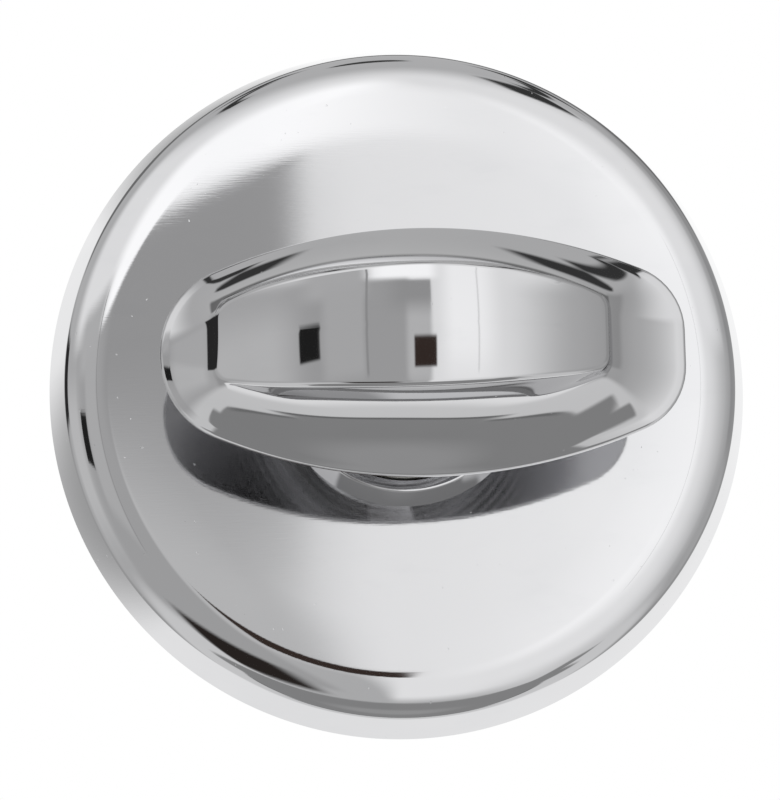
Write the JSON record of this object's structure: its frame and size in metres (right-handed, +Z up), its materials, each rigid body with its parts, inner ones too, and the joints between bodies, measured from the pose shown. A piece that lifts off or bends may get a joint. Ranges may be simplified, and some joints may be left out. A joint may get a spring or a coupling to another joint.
{
  "type": "bathroom thumb turn",
  "caption": "Round chrome rosette with a lens-shaped thumb turn on a neck, a square spindle and through bolts, for a bathroom door lock.",
  "frame": {"origin": "on the spindle axis in the plane of the door's face, where the rosette's back rests", "axes": "+Y along the spindle into the door, so the front faces -Y; +Z up; +X along the grip at rest"},
  "size_m": [0.05, 0.082, 0.05],
  "materials": {
    "chrome_cover": "polished chrome plate on brass",
    "chrome_turn": "polished chrome plate on brass",
    "cast_zinc": "plain die-cast zinc",
    "spring_steel": "bright spring steel",
    "dark_spring_steel": "phosphated spring steel",
    "plated_steel": "bright zinc plate on steel",
    "nylon": "natural moulded nylon"
  },
  "bodies": {
    "rose": {"rosette_cover": "chrome_cover", "base_plate": "cast_zinc", "snap_ring": "spring_steel", "neck_bush": "nylon", "thrust_washer": "nylon", "fixing_bolts": "plated_steel"},
    "turn": {"thumb_turn": "chrome_turn", "spindle": "plated_steel", "spindle_pin": "dark_spring_steel", "retaining_ring": "dark_spring_steel", "backing_washer": "plated_steel", "wave_washer": "spring_steel"}
  },
  "joints": [
    {"name": "turn_spin", "type": "hinge", "parent": "rose", "child": "turn", "pos_m": [0, 0, 0], "axis": [0, 1, 0], "range_deg": [0, 90]}
  ]
}
